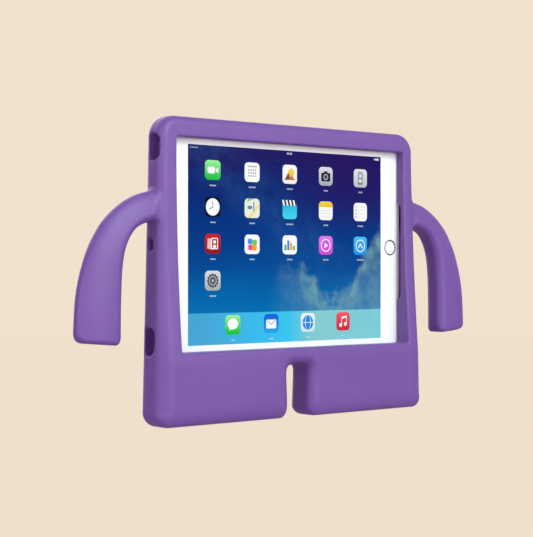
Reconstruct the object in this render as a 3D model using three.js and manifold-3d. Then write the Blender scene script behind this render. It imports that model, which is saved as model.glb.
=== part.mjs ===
// A child's tablet case: one moulded piece of EVA foam with a window, two handle arms and two
// legs, and the 9.7 inch tablet that it holds, with its glass, buttons, ports and inner parts.
// Millimetres, +Z up. The origin is at the middle of the case's soles: X runs to the right as the
// screen is read, Y runs from the screen side (negative) to the back, Z is up.
import * as THREE from "three";
import { mergeVertices } from "three/addons/utils/BufferGeometryUtils.js";
import Module from "manifold-3d";

const wasm = await Module();
wasm.setup();

// ---- Driving dimensions of the foam case ----
const CASE_HEIGHT = 224.5;
const HALF_WIDTH_TOP = 128.5;
const HALF_WIDTH_BOTTOM = 134.6;
const FRONT_TOP = -6.4; // front face beside the top of the window
const FRONT_LEGS = -14; // front face of the legs
const BACK = 14;
const FLARE_FROM = 200; // the front face comes forward towards the legs below this height
const FLARE_TO = 46;
const TOP_CORNER = 15; // corner radii of the outline, seen from the front
const BOTTOM_CORNER = 11;
const TOP_EDGE = 7; // edge radii, seen from the side
const SOLE_EDGE = 6.5;
const FRONT_EDGE_TOP = 5.5; // radii of the upright edges
const FRONT_EDGE_LEGS = 12.5;
const BACK_EDGE = 8;

const GAP_MIDDLE = -1.9; // the slot between the legs
const GAP_HALF_WIDTH = 9.7;
const GAP_ROUND = 6.5; // its upper corners
const GAP_TOP = 40;
const GAP_EDGE = 8; // its rounding towards the front and back faces
const GAP_CORNER = 8; // its rounding towards the soles

const ARM_FRONT = -6;
const ARM_BACK = 13;
const ARM_EDGE = 6.5;
const ARM_TIP_EDGE = 7;

const WINDOW_LEFT = -114.3; // the frame covers more of the screen's border here than beside the button
const WINDOW_RIGHT = 116.5;
const WINDOW_BOTTOM = 53;
const WINDOW_TOP = 209.3;
const WINDOW_CORNER = 2.5;

// The foam's holes over the buttons and ports: length along the edge, width from front to back.
const HOLE_Y = 3.35; // the line that those at the left lie on
const SLEEP_HOLE = { length: 20, width: 13 };
const JACK_HOLE = { length: 20.5, width: 13 };
const MICROPHONE_HOLE = { length: 8.7, width: 5.4 };
const CONNECTOR_SLOT = { y: 5, z: 129.4, length: 83, width: 9.2 };
const VOLUME_SLOT = { x: -75.25, y: 6.4, length: 50, width: 8.8 };
const CAMERA_HOLE_RADIUS = 9;

// ---- Driving dimensions of the tablet ----
const TABLET_WIDTH = 240;
const TABLET_HEIGHT = 169.5;
const TABLET_DEPTH = 7.5;
const TABLET_CORNER = 9;
const TABLET_Z = 131.2; // its middle
const GLASS_Y = 2; // its screen face
const POCKET_CLEARANCE = 0.3;
const SHELL_EDGE = 3.8; // the rounding of its back edges
const SHELL_WALL = 2.4;
const SHELL_FLOOR = 0.9;
const GLASS_THICKNESS = 1;
const GLASS_INSET = 0.8;
const TRIM_GAP = 0.15;
const DISPLAY_WIDTH = 203;
const DISPLAY_HEIGHT = 153.5;
const FIT_GAP = 0.1; // between the glass and the shell's rim

const TABLET_LEFT = -TABLET_WIDTH / 2;
const TABLET_RIGHT = TABLET_WIDTH / 2;
const TABLET_TOP = TABLET_Z + TABLET_HEIGHT / 2;
const PORT_Y = GLASS_Y + 3.9; // the line that the ports and side buttons lie on

const HOME = { x: 109.3, hole: 6.55, ringOuter: 6.4, ringInner: 5.5, cap: 5.35 };
const SLEEP_Z = 201.4;
const JACK_Z = 61.4;
const SWITCH_X = -90;
const VOLUME_UP_X = -72.5;
const VOLUME_DOWN_X = -60.5;
const CAMERA = { x: -108.5, z: 204.5, ring: 4.3, lens: 3.2, module: 4.5 };
const FRONT_CAMERA_X = -110.5;
const SPEAKER_Z = 28; // from the tablet's middle
const CAP_STAND = 0.6; // how far the side buttons stand out of the shell

// ---- Colours ----
const FOAM = new THREE.MeshStandardMaterial({ color: 0x8368ac, roughness: 0.75, metalness: 0 });
const ALUMINIUM = new THREE.MeshStandardMaterial({ color: 0xc6c8cb, roughness: 0.38, metalness: 1 });
const WHITE_GLASS = new THREE.MeshStandardMaterial({ color: 0xf4f5f6, roughness: 0.08, metalness: 0 });
const SCREEN = new THREE.MeshStandardMaterial({ color: 0x1c4f94, roughness: 0.1, metalness: 0 });
const WHITE_PLASTIC = new THREE.MeshStandardMaterial({ color: 0xefefef, roughness: 0.4, metalness: 0 });
const RING_METAL = new THREE.MeshStandardMaterial({ color: 0xa9abae, roughness: 0.25, metalness: 1 });
const DARK_GLASS = new THREE.MeshStandardMaterial({ color: 0x0b0c10, roughness: 0.05, metalness: 0 });
const CELL = new THREE.MeshStandardMaterial({ color: 0x2b2c30, roughness: 0.5, metalness: 0 });
const BOARD = new THREE.MeshStandardMaterial({ color: 0x1f5a3a, roughness: 0.55, metalness: 0 });
const STEEL = new THREE.MeshStandardMaterial({ color: 0xb4b6b8, roughness: 0.35, metalness: 1 });
const BLACK_PLASTIC = new THREE.MeshStandardMaterial({ color: 0x18191b, roughness: 0.5, metalness: 0 });

const object = new THREE.Group();

function node(name, geometry, material) {
  const mesh = new THREE.Mesh(geometry, material);
  mesh.name = name;
  object.add(mesh);
  return mesh;
}

// ---- Joining and cutting ----
function solid(geometry) {
  const bare = geometry.clone();
  bare.deleteAttribute("normal");
  bare.deleteAttribute("uv");
  const merged = mergeVertices(bare, 1e-4);
  const mesh = new wasm.Mesh({
    numProp: 3,
    vertProperties: new Float32Array(merged.attributes.position.array),
    triVerts: new Uint32Array(merged.index.array),
  });
  return new wasm.Manifold(mesh);
}

function geometryOf(manifold) {
  const mesh = manifold.getMesh();
  const geometry = new THREE.BufferGeometry();
  geometry.setAttribute("position", new THREE.BufferAttribute(mesh.vertProperties, 3));
  geometry.setIndex(new THREE.BufferAttribute(mesh.triVerts, 1));
  return geometry;
}

function joined(...geometries) {
  return geometries.map(solid).reduce((a, b) => a.add(b));
}

function cut(whole, ...geometries) {
  return geometries.map(solid).reduce((a, b) => a.subtract(b), whole);
}

// ---- Shapes ----
// A rectangle with round corners, centred on (x, z).
function roundedRectangle(width, height, radius, x = 0, z = 0) {
  const [w, h] = [width / 2, height / 2];
  const shape = new THREE.Shape();
  shape.absarc(x + w - radius, z - h + radius, radius, -Math.PI / 2, 0);
  shape.absarc(x + w - radius, z + h - radius, radius, 0, Math.PI / 2);
  shape.absarc(x - w + radius, z + h - radius, radius, Math.PI / 2, Math.PI);
  shape.absarc(x - w + radius, z - h + radius, radius, Math.PI, Math.PI * 1.5);
  shape.closePath();
  return shape;
}

// A shape drawn in X and Z, as a plate from y0 to y1.
function plate(shape, y0, y1, curveSegments = 4) {
  const geometry = new THREE.ExtrudeGeometry(shape, {
    depth: y1 - y0,
    bevelEnabled: false,
    curveSegments,
  });
  return geometry.rotateX(Math.PI / 2).translate(0, y1, 0);
}

function box(x0, x1, y0, y1, z0, z1) {
  const geometry = new THREE.BoxGeometry(x1 - x0, y1 - y0, z1 - z0);
  return geometry.translate((x0 + x1) / 2, (y0 + y1) / 2, (z0 + z1) / 2);
}

// A slot with round ends, as a plug along X: length is its size in Z, width its size in Y.
function slotAlongX(x0, x1, y, z, length, width, curveSegments = 3) {
  const shape = roundedRectangle(width, length, width / 2 - 0.001);
  const geometry = new THREE.ExtrudeGeometry(shape, { depth: x1 - x0, bevelEnabled: false, curveSegments });
  // The shape's x becomes Y, its y becomes Z, and its depth runs along X.
  const turned = geometry.rotateX(Math.PI / 2).rotateZ(Math.PI / 2);
  return turned.translate(x0, y, z);
}

// The same along Z: length is its size in X.
function slotAlongZ(z0, z1, x, y, length, width, curveSegments = 3) {
  const shape = roundedRectangle(length, width, width / 2 - 0.001);
  const geometry = new THREE.ExtrudeGeometry(shape, { depth: z1 - z0, bevelEnabled: false, curveSegments });
  return geometry.translate(x, y, z0);
}

// A cylinder along Y.
function disc(x, z, radius, y0, y1, sides = 20) {
  const geometry = new THREE.CylinderGeometry(radius, radius, y1 - y0, sides);
  return geometry.translate(x, (y0 + y1) / 2, z);
}

// A closed skin through rings of points, each ring with the same number of points.
function loft(rings) {
  const count = rings[0].length;
  const points = rings.flat();
  const middles = [rings[0], rings[rings.length - 1]].map((ring) => {
    const sum = ring.reduce((total, p) => total.add(p), new THREE.Vector3());
    return sum.divideScalar(count);
  });
  const index = [];
  for (let r = 0; r + 1 < rings.length; r++) {
    for (let i = 0; i < count; i++) {
      const a = r * count + i;
      const b = r * count + ((i + 1) % count);
      index.push(a, b, b + count, a, b + count, a + count);
    }
  }
  const [first, last] = [points.length, points.length + 1];
  const top = (rings.length - 1) * count;
  for (let i = 0; i < count; i++) {
    const next = (i + 1) % count;
    index.push(first, next, i);
    index.push(last, top + i, top + next);
  }
  const geometry = new THREE.BufferGeometry().setFromPoints([...points, ...middles]);
  geometry.setIndex(index);
  return geometry;
}

// How far an edge of this radius has drawn in, at a depth below the face that it rounds into.
function inset(radius, depth) {
  if (depth >= radius) return 0;
  const rise = radius - depth;
  return radius - Math.sqrt(radius * radius - rise * rise);
}

const clamp01 = (t) => Math.min(1, Math.max(0, t));

// ---- The foam case's outer form ----
// From 0 beside the window's upper part to 1 at the legs.
const flare = (z) => clamp01((FLARE_FROM - z) / (FLARE_FROM - FLARE_TO)) ** 2;
const mix = (a, b, t) => a + (b - a) * t;

// The body's outline at a height, as a ring in X and Y.
function bodyRing(z) {
  const spread = flare(z);
  const narrow = inset(TOP_CORNER, CASE_HEIGHT - z) + inset(BOTTOM_CORNER, z);
  const thin = inset(TOP_EDGE, CASE_HEIGHT - z) + inset(SOLE_EDGE, z);
  const halfWidth = mix(HALF_WIDTH_BOTTOM, HALF_WIDTH_TOP, z / CASE_HEIGHT) - narrow;
  const front = mix(FRONT_TOP, FRONT_LEGS, spread) + thin;
  const back = BACK - thin;
  const most = (back - front) / 2 - 0.2;
  const frontRadius = Math.min(mix(FRONT_EDGE_TOP, FRONT_EDGE_LEGS, spread), most);
  const backRadius = Math.min(BACK_EDGE, most);
  const ring = new THREE.Shape();
  ring.absarc(halfWidth - frontRadius, front + frontRadius, frontRadius, -Math.PI / 2, 0);
  ring.absarc(halfWidth - backRadius, back - backRadius, backRadius, 0, Math.PI / 2);
  ring.absarc(-halfWidth + backRadius, back - backRadius, backRadius, Math.PI / 2, Math.PI);
  ring.absarc(-halfWidth + frontRadius, front + frontRadius, frontRadius, Math.PI, Math.PI * 1.5);
  return ring.getPoints(4).map((p) => new THREE.Vector3(p.x, p.y, z));
}

const SOLE_STEPS = [0, 0.4, 1.4, 4, 7, 11, 20, 32];
const FLARE_STEPS = [46, 58, 72, 88, 106, 128, 156, 200];
const TOP_STEPS = [13, 9, 6, 3.5, 1.6, 0.4, 0].map((below) => CASE_HEIGHT - below);
const bodyForm = loft([...SOLE_STEPS, ...FLARE_STEPS, ...TOP_STEPS].map(bodyRing));

// The arms: outer and inner edges, seen from the front, from inside the body to the tip.
const ARM_OUTER = [
  [122, 170.5],
  [134, 168.3],
  [154, 160],
  [173, 145.5],
  [185, 124],
  [193, 97],
  [197, 62.7],
];
const ARM_INNER = [
  [122, 148.5],
  [135, 147],
  [147, 141.8],
  [154.8, 130.5],
  [158.4, 115],
  [159.7, 90],
  [160, 59.7],
];
const curveThrough = (pairs) => new THREE.SplineCurve(pairs.map(([x, z]) => new THREE.Vector2(x, z)));
const outerEdge = curveThrough(ARM_OUTER);
const innerEdge = curveThrough(ARM_INNER);
const ARM_RINGS = 18;

// A section across the arm, which stands on the line between its edges and is round at its corners.
function armRing(t, fromTip, side) {
  const outer = outerEdge.getPoint(t);
  const inner = innerEdge.getPoint(t);
  const middle = outer.clone().add(inner).divideScalar(2);
  const across = outer.clone().sub(inner).normalize();
  const drawn = inset(ARM_TIP_EDGE, fromTip);
  const width = outer.distanceTo(inner) - 2 * drawn;
  const depth = ARM_BACK - ARM_FRONT - 2 * drawn;
  const radius = Math.min(ARM_EDGE, width / 2, depth / 2) - 0.1;
  const section = roundedRectangle(width, depth, radius);
  const points = section.getPoints(3).map((p) => {
    const x = middle.x + across.x * p.x;
    const z = middle.y + across.y * p.x;
    return new THREE.Vector3(side * x, (ARM_FRONT + ARM_BACK) / 2 + p.y, z);
  });
  return side > 0 ? points.reverse() : points;
}

function armForm(side) {
  const length = outerEdge.getLength();
  const steps = Array.from({ length: ARM_RINGS }, (_, i) => i / ARM_RINGS);
  const tip = [5.4, 3.8, 2, 0.7, 0].map((below) => 1 - below / length);
  const whole = steps.filter((t) => (1 - t) * length > ARM_TIP_EDGE);
  return loft([...whole, ...tip].map((t) => armRing(t, (1 - t) * length, side)));
}

// The slot between the legs, flared where it meets the front and back faces.
const BELOW_SOLES = -2;
function gapRing(y) {
  const nearest = Math.min(y - FRONT_LEGS, BACK - y);
  const spread = inset(GAP_EDGE, Math.max(0, nearest));
  const half = GAP_HALF_WIDTH + spread;
  const corner = half + GAP_CORNER;
  const round = GAP_ROUND + spread;
  const shape = new THREE.Shape();
  shape.moveTo(corner, BELOW_SOLES);
  shape.lineTo(corner, 0);
  shape.absarc(corner, GAP_CORNER, GAP_CORNER, -Math.PI / 2, -Math.PI, true);
  shape.absarc(half - round, GAP_TOP - GAP_ROUND, round, 0, Math.PI / 2);
  shape.absarc(round - half, GAP_TOP - GAP_ROUND, round, Math.PI / 2, Math.PI);
  shape.absarc(-corner, GAP_CORNER, GAP_CORNER, 0, -Math.PI / 2, true);
  shape.lineTo(-corner, BELOW_SOLES);
  return shape.getPoints(4).map((p) => new THREE.Vector3(GAP_MIDDLE + p.x, y, p.y));
}
const GAP_STEPS = [-0.6, 0, 0.6, 2, 4.5, 9]; // from each face inwards
const gapForm = loft(
  [...GAP_STEPS.map((d) => FRONT_LEGS + d), ...GAP_STEPS.map((d) => BACK - d).reverse()].map((y) => {
    return gapRing(y).reverse();
  }),
);

// ---- The foam case's openings ----
const BEYOND = 5; // how far a cutter runs past the surface that it opens
const windowForm = plate(
  roundedRectangle(
    WINDOW_RIGHT - WINDOW_LEFT,
    WINDOW_TOP - WINDOW_BOTTOM,
    WINDOW_CORNER,
    (WINDOW_RIGHT + WINDOW_LEFT) / 2,
    (WINDOW_TOP + WINDOW_BOTTOM) / 2,
  ),
  FRONT_LEGS - BEYOND,
  GLASS_Y,
  2,
);
const pocketForm = plate(
  roundedRectangle(
    TABLET_WIDTH + 2 * POCKET_CLEARANCE,
    TABLET_HEIGHT + 2 * POCKET_CLEARANCE,
    TABLET_CORNER + POCKET_CLEARANCE,
    0,
    TABLET_Z,
  ),
  GLASS_Y - POCKET_CLEARANCE,
  GLASS_Y + TABLET_DEPTH + POCKET_CLEARANCE,
);
const OUTSIDE = HALF_WIDTH_BOTTOM + BEYOND;
const INTO_POCKET = 1;
function leftHole(z, { length, width }) {
  return slotAlongX(-OUTSIDE, TABLET_LEFT + INTO_POCKET, HOLE_Y, z, length, width);
}
const foam = cut(
  joined(bodyForm, armForm(-1), armForm(1)),
  gapForm,
  windowForm,
  pocketForm,
  leftHole(SLEEP_Z, SLEEP_HOLE),
  leftHole(JACK_Z, JACK_HOLE),
  leftHole(TABLET_Z, MICROPHONE_HOLE),
  // The slot at the right is open to the window as well as to the pocket.
  slotAlongX(
    WINDOW_RIGHT - 1,
    OUTSIDE,
    CONNECTOR_SLOT.y,
    CONNECTOR_SLOT.z,
    CONNECTOR_SLOT.length,
    CONNECTOR_SLOT.width,
  ),
  slotAlongZ(
    TABLET_TOP - INTO_POCKET,
    CASE_HEIGHT + BEYOND,
    VOLUME_SLOT.x,
    VOLUME_SLOT.y,
    VOLUME_SLOT.length,
    VOLUME_SLOT.width,
  ),
  disc(CAMERA.x, CAMERA.z, CAMERA_HOLE_RADIUS, GLASS_Y + TABLET_DEPTH - INTO_POCKET, BACK + BEYOND, 24),
);
node("foam_case", geometryOf(foam), FOAM);

// ---- The tablet's shell ----
// The tablet's outline drawn in by a margin.
function tabletShape(margin, corner = TABLET_CORNER - margin) {
  return roundedRectangle(TABLET_WIDTH - 2 * margin, TABLET_HEIGHT - 2 * margin, corner, 0, TABLET_Z);
}

// The same as a ring, at a distance behind the screen face.
function tabletRing(margin, behind) {
  const points = tabletShape(margin, TABLET_CORNER - margin * 0.8).getPoints(4);
  return points.map((p) => new THREE.Vector3(p.x, GLASS_Y + behind, p.y)).reverse();
}
const RIM = GLASS_THICKNESS + FIT_GAP; // where the shell's wall ends, behind the screen face
const SHELL_STEPS = [TABLET_DEPTH - SHELL_EDGE, 5, 6.2, 7, 7.4, TABLET_DEPTH];
const shellForm = loft([
  tabletRing(0, RIM),
  ...SHELL_STEPS.map((behind) => tabletRing(inset(SHELL_EDGE, TABLET_DEPTH - behind), behind)),
]);
const BACK_FACE = GLASS_Y + TABLET_DEPTH;
const FLOOR_Y = BACK_FACE - SHELL_FLOOR;
const cavityForm = plate(tabletShape(SHELL_WALL), GLASS_Y, FLOOR_Y);

// Holes through the shell's wall: at the left, at the right and through the top.
const THROUGH = 4;
const BUTTON_HOLE = { length: 10.6, width: 2.6 };
function leftPort(z, length, width) {
  return slotAlongX(TABLET_LEFT - 1, TABLET_LEFT + THROUGH, PORT_Y, z, length, width);
}
function rightPort(z, length, width, curveSegments) {
  return slotAlongX(TABLET_RIGHT - THROUGH, TABLET_RIGHT + 1, PORT_Y, z, length, width, curveSegments);
}
function topPort(x, length, width) {
  return slotAlongZ(TABLET_TOP - THROUGH, TABLET_TOP + 1, x, PORT_Y, length, width);
}
const SPEAKER_HOLES = { count: 7, pitch: 2.6, size: 1.6 };
const speakerHoles = [];
for (const side of [-1, 1]) {
  for (let i = 0; i < SPEAKER_HOLES.count; i++) {
    const along = (i - (SPEAKER_HOLES.count - 1) / 2) * SPEAKER_HOLES.pitch;
    const { size } = SPEAKER_HOLES;
    speakerHoles.push(rightPort(TABLET_Z + side * (SPEAKER_Z + along), size + 0.01, size, 2));
  }
}
const shellHoles = [
  leftPort(SLEEP_Z, BUTTON_HOLE.length, BUTTON_HOLE.width),
  leftPort(JACK_Z, 4.41, 4.4),
  leftPort(TABLET_Z, 1.21, 1.2),
  rightPort(TABLET_Z, 9, 2.7, 3),
  topPort(VOLUME_UP_X, BUTTON_HOLE.length, BUTTON_HOLE.width),
  topPort(VOLUME_DOWN_X, BUTTON_HOLE.length, BUTTON_HOLE.width),
  topPort(SWITCH_X, 6.4, BUTTON_HOLE.width),
  disc(CAMERA.x, CAMERA.z, CAMERA.ring + FIT_GAP, FLOOR_Y - 1, BACK_FACE + 1),
];

// The logic board stands on four bosses of the shell's floor, held by a screw in each.
const BOARD_LEFT = 73;
const BOARD_RIGHT = 99;
const BOARD_HALF_HEIGHT = 68;
const BOARD_BOTTOM = TABLET_Z - BOARD_HALF_HEIGHT;
const BOARD_TOP = TABLET_Z + BOARD_HALF_HEIGHT;
const BOARD_FRONT = GLASS_Y + 4.7;
const BOARD_BACK = BOARD_FRONT + 0.9;
const SCREW_MARGIN = 4; // from the board's edges
const SCREW = { head: 1.7, stem: 0.75, bossHole: 0.9, boardHole: 1, boss: 2.2 };
const SCREW_PLACES = [BOARD_BOTTOM + SCREW_MARGIN, BOARD_TOP - SCREW_MARGIN].flatMap((z) => {
  return [BOARD_LEFT + SCREW_MARGIN, BOARD_RIGHT - SCREW_MARGIN].map((x) => [x, z]);
});
const bosses = SCREW_PLACES.map(([x, z]) => disc(x, z, SCREW.boss, BOARD_BACK + 0.05, FLOOR_Y + 0.2, 12));
const bossHoles = SCREW_PLACES.map(([x, z]) => disc(x, z, SCREW.bossHole, BOARD_FRONT, FLOOR_Y - 0.1, 10));
const tray = cut(solid(shellForm), cavityForm, ...shellHoles, ...speakerHoles);
const shell = cut(tray.add(joined(...bosses)), ...bossHoles);
node("rear_shell", geometryOf(shell), ALUMINIUM);

// ---- Glass, trim and display ----
const GLASS_BACK = GLASS_Y + GLASS_THICKNESS;
const glass = cut(
  solid(plate(tabletShape(GLASS_INSET), GLASS_Y, GLASS_BACK)),
  disc(HOME.x, TABLET_Z, HOME.hole, GLASS_Y - 1, GLASS_BACK + 1, 32),
);
node("front_glass", geometryOf(glass), WHITE_GLASS);
const trim = cut(
  solid(plate(tabletShape(TRIM_GAP), GLASS_Y + 0.2, GLASS_BACK)),
  plate(tabletShape(GLASS_INSET - TRIM_GAP), GLASS_Y - 1, GLASS_BACK + 1),
);
node("glass_trim", geometryOf(trim), WHITE_PLASTIC);
const DISPLAY_THICKNESS = 1.8;
const DISPLAY_FRONT = GLASS_BACK + 0.2;
const displayShape = roundedRectangle(DISPLAY_WIDTH, DISPLAY_HEIGHT, 1, 0, TABLET_Z);
node("display_panel", plate(displayShape, DISPLAY_FRONT, DISPLAY_FRONT + DISPLAY_THICKNESS, 2), SCREEN);

// ---- Home button ----
function ringOf(x, z, outer, inner, y0, y1) {
  return geometryOf(cut(solid(disc(x, z, outer, y0, y1, 32)), disc(x, z, inner, y0 - 1, y1 + 1, 32)));
}
const homeRing = ringOf(HOME.x, TABLET_Z, HOME.ringOuter, HOME.ringInner, GLASS_Y - 0.05, GLASS_Y + 1.2);
node("home_button_ring", homeRing, RING_METAL);

// The cap is a shallow dish on a short stem: radius and depth behind the screen face.
const CAP_STEM = { radius: 1.6, end: 1.9 };
const CAP_BACK = 1.3;
const capProfile = [
  [0, 0.55],
  [HOME.cap * 0.55, 0.42],
  [HOME.cap * 0.93, 0.14],
  [HOME.cap, 0.2],
  [HOME.cap, CAP_BACK],
  [CAP_STEM.radius, CAP_BACK],
  [CAP_STEM.radius, CAP_STEM.end],
  [0, CAP_STEM.end],
].map(([radius, depth]) => new THREE.Vector2(radius, GLASS_Y + depth));
const cap = new THREE.LatheGeometry(capProfile, 32).translate(HOME.x, 0, TABLET_Z);
node("home_button_cap", cap, WHITE_GLASS);
const SWITCH_FRONT = GLASS_Y + 2.35;
const BRACKET_FRONT = GLASS_Y + 3;
node("home_button_switch", disc(HOME.x, TABLET_Z, 2.2, SWITCH_FRONT, BRACKET_FRONT - 0.05, 16), STEEL);
const bracketShape = roundedRectangle(8.6, 24, 2, HOME.x - 2.4, TABLET_Z);
node("home_button_bracket", plate(bracketShape, BRACKET_FRONT, BRACKET_FRONT + 0.4, 3), STEEL);

// ---- Side buttons ----
// Each has a cap through the shell's wall, and a flange inside the shell that holds it in.
const INNER_LEFT = TABLET_LEFT + SHELL_WALL;
const INNER_RIGHT = TABLET_RIGHT - SHELL_WALL;
const INNER_TOP = TABLET_TOP - SHELL_WALL;
const BUTTON = { length: 10, width: 2 };
const FLANGE = { from: 0.15, to: 0.9, halfWidth: 1.7, reach: 6.2 }; // from the wall's inner face
const CAP_ROOT = 0.4; // how deep the cap's end lies in the flange
const FRONT_OF_PORTS = PORT_Y - FLANGE.halfWidth;
const BACK_OF_PORTS = PORT_Y + FLANGE.halfWidth;

const sleepButton = joined(
  slotAlongX(TABLET_LEFT - CAP_STAND, INNER_LEFT + CAP_ROOT, PORT_Y, SLEEP_Z, BUTTON.length, BUTTON.width, 4),
  box(
    INNER_LEFT + FLANGE.from,
    INNER_LEFT + FLANGE.to,
    FRONT_OF_PORTS,
    BACK_OF_PORTS,
    SLEEP_Z - FLANGE.reach,
    SLEEP_Z + FLANGE.reach,
  ),
);
node("sleep_button", geometryOf(sleepButton), ALUMINIUM);
const sleepSwitch = box(
  INNER_LEFT + 1.5,
  INNER_LEFT + 3.4,
  PORT_Y - 1.5,
  PORT_Y + 1.5,
  SLEEP_Z - 3,
  SLEEP_Z + 3,
);
node("sleep_switch", sleepSwitch, BLACK_PLASTIC);

// A key in the top wall: its cap's middle, and how far its flange runs to the left and right.
function topKey(x, length, stand, left, right) {
  return geometryOf(
    joined(
      slotAlongZ(INNER_TOP - CAP_ROOT, TABLET_TOP + stand, x, PORT_Y, length, BUTTON.width, 4),
      box(x - left, x + right, FRONT_OF_PORTS, BACK_OF_PORTS, INNER_TOP - FLANGE.to, INNER_TOP - FLANGE.from),
    ),
  );
}
node("volume_up_button", topKey(VOLUME_UP_X, BUTTON.length, CAP_STAND, 5.7, 5.7), ALUMINIUM);
node("volume_down_button", topKey(VOLUME_DOWN_X, BUTTON.length, CAP_STAND, 5.7, 5.7), ALUMINIUM);
node("side_switch_slider", topKey(SWITCH_X - 0.9, 4, 0.4, 4.5, 4.5), ALUMINIUM);
const switchBoard = box(
  SWITCH_X - 7,
  VOLUME_DOWN_X + 8,
  PORT_Y - 1.9,
  PORT_Y + 1.9,
  INNER_TOP - 2.9,
  INNER_TOP - 1.5,
);
node("volume_switch_board", switchBoard, BOARD);

// ---- Ports, speakers and microphone ----
const BESIDE_WALL = 0.2; // between the shell's wall and what stands against it
const JACK = { length: 14, half: 3.2, bore: 3.6, depth: 12.5 };
const jack = cut(
  solid(
    box(
      INNER_LEFT + BESIDE_WALL,
      INNER_LEFT + JACK.length,
      PORT_Y - 2.5,
      PORT_Y + 2.3,
      JACK_Z - JACK.half,
      JACK_Z + JACK.half,
    ),
  ),
  slotAlongX(INNER_LEFT - 1, INNER_LEFT + JACK.depth, PORT_Y, JACK_Z, JACK.bore + 0.01, JACK.bore, 4),
);
node("headphone_jack", geometryOf(jack), BLACK_PLASTIC);
const DOCK = { length: 5.6, half: 6, depth: 5, opening: 8.3, gap: 1.9 };
const dock = cut(
  solid(
    box(
      INNER_RIGHT - DOCK.length,
      INNER_RIGHT - BESIDE_WALL,
      PORT_Y - 1.55,
      PORT_Y + 2.2,
      TABLET_Z - DOCK.half,
      TABLET_Z + DOCK.half,
    ),
  ),
  slotAlongX(INNER_RIGHT - DOCK.depth, INNER_RIGHT + 1, PORT_Y, TABLET_Z, DOCK.opening, DOCK.gap),
);
node("dock_connector", geometryOf(dock), STEEL);
const SPEAKER = { length: 12.7, front: 1.5, back: 6.3, half: 13, shift: 2 };
for (const [name, side] of [["speaker_upper", 1], ["speaker_lower", -1]]) {
  const z = TABLET_Z + side * (SPEAKER_Z + SPEAKER.shift);
  const x = INNER_RIGHT - BESIDE_WALL - 0.1;
  const { length, front, back, half } = SPEAKER;
  node(name, box(x - length, x, GLASS_Y + front, GLASS_Y + back, z - half, z + half), BLACK_PLASTIC);
}
const microphone = box(
  INNER_LEFT + BESIDE_WALL,
  INNER_LEFT + 3,
  PORT_Y - 1.5,
  PORT_Y + 1.5,
  TABLET_Z - 2,
  TABLET_Z + 2,
);
node("microphone", microphone, STEEL);

// ---- Cameras ----
const LENS_FRONT = FLOOR_Y + 0.1;
const cameraRing = ringOf(CAMERA.x, CAMERA.z, CAMERA.ring, CAMERA.lens + 0.1, LENS_FRONT, BACK_FACE + 0.1);
node("rear_camera_ring", cameraRing, RING_METAL);
node("rear_camera_lens", disc(CAMERA.x, CAMERA.z, CAMERA.lens, LENS_FRONT, BACK_FACE - 0.1, 24), DARK_GLASS);
const cameraModule = box(
  CAMERA.x - CAMERA.module,
  CAMERA.x + CAMERA.module,
  GLASS_Y + 2.2,
  FLOOR_Y - 0.1,
  CAMERA.z - CAMERA.module,
  CAMERA.z + CAMERA.module,
);
node("rear_camera_module", cameraModule, BLACK_PLASTIC);
node("front_camera", disc(FRONT_CAMERA_X, TABLET_Z, 2.2, DISPLAY_FRONT, GLASS_Y + 4, 20), DARK_GLASS);

// ---- Battery cells and logic board ----
const CELL_FRONT = GLASS_Y + 3.3;
const CELL_BACK = GLASS_Y + 6.2;
const CELL_HEIGHT = 136;
for (const [name, x0, x1] of [["battery_cell_left", -92, -11], ["battery_cell_right", -8, 69]]) {
  const shape = roundedRectangle(x1 - x0, CELL_HEIGHT, 2, (x0 + x1) / 2, TABLET_Z);
  node(name, plate(shape, CELL_FRONT, CELL_BACK, 3), CELL);
}
const board = cut(
  solid(box(BOARD_LEFT, BOARD_RIGHT, BOARD_FRONT, BOARD_BACK, BOARD_BOTTOM, BOARD_TOP)),
  ...SCREW_PLACES.map(([x, z]) => disc(x, z, SCREW.boardHole, BOARD_FRONT - 1, BOARD_BACK + 1, 10)),
);
node("logic_board", geometryOf(board), BOARD);

// What stands on the board's front, by its sides and its ends above the tablet's middle.
function onBoard(name, x0, x1, low, high, material) {
  const geometry = box(x0, x1, BOARD_FRONT - 1.2, BOARD_FRONT - 0.05, TABLET_Z + low, TABLET_Z + high);
  node(name, geometry, material);
}
onBoard("board_shield", 75, 97, -48, 22, STEEL);
onBoard("battery_connector", 74, 86, 28, 33, BLACK_PLASTIC);
onBoard("wireless_module", 77, 95, 39, 53, STEEL);
SCREW_PLACES.forEach(([x, z], i) => {
  const screw = joined(
    disc(x, z, SCREW.head, BOARD_FRONT - 0.75, BOARD_FRONT - 0.05, 12),
    disc(x, z, SCREW.stem, BOARD_FRONT - 0.2, FLOOR_Y - 0.3, 8),
  );
  node(`board_screw_${i + 1}`, geometryOf(screw), STEEL);
});

export default object;
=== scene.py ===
import math

import bmesh
import bpy
import numpy as np
import openvdb
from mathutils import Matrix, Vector
from mathutils.geometry import delaunay_2d_cdt


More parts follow.
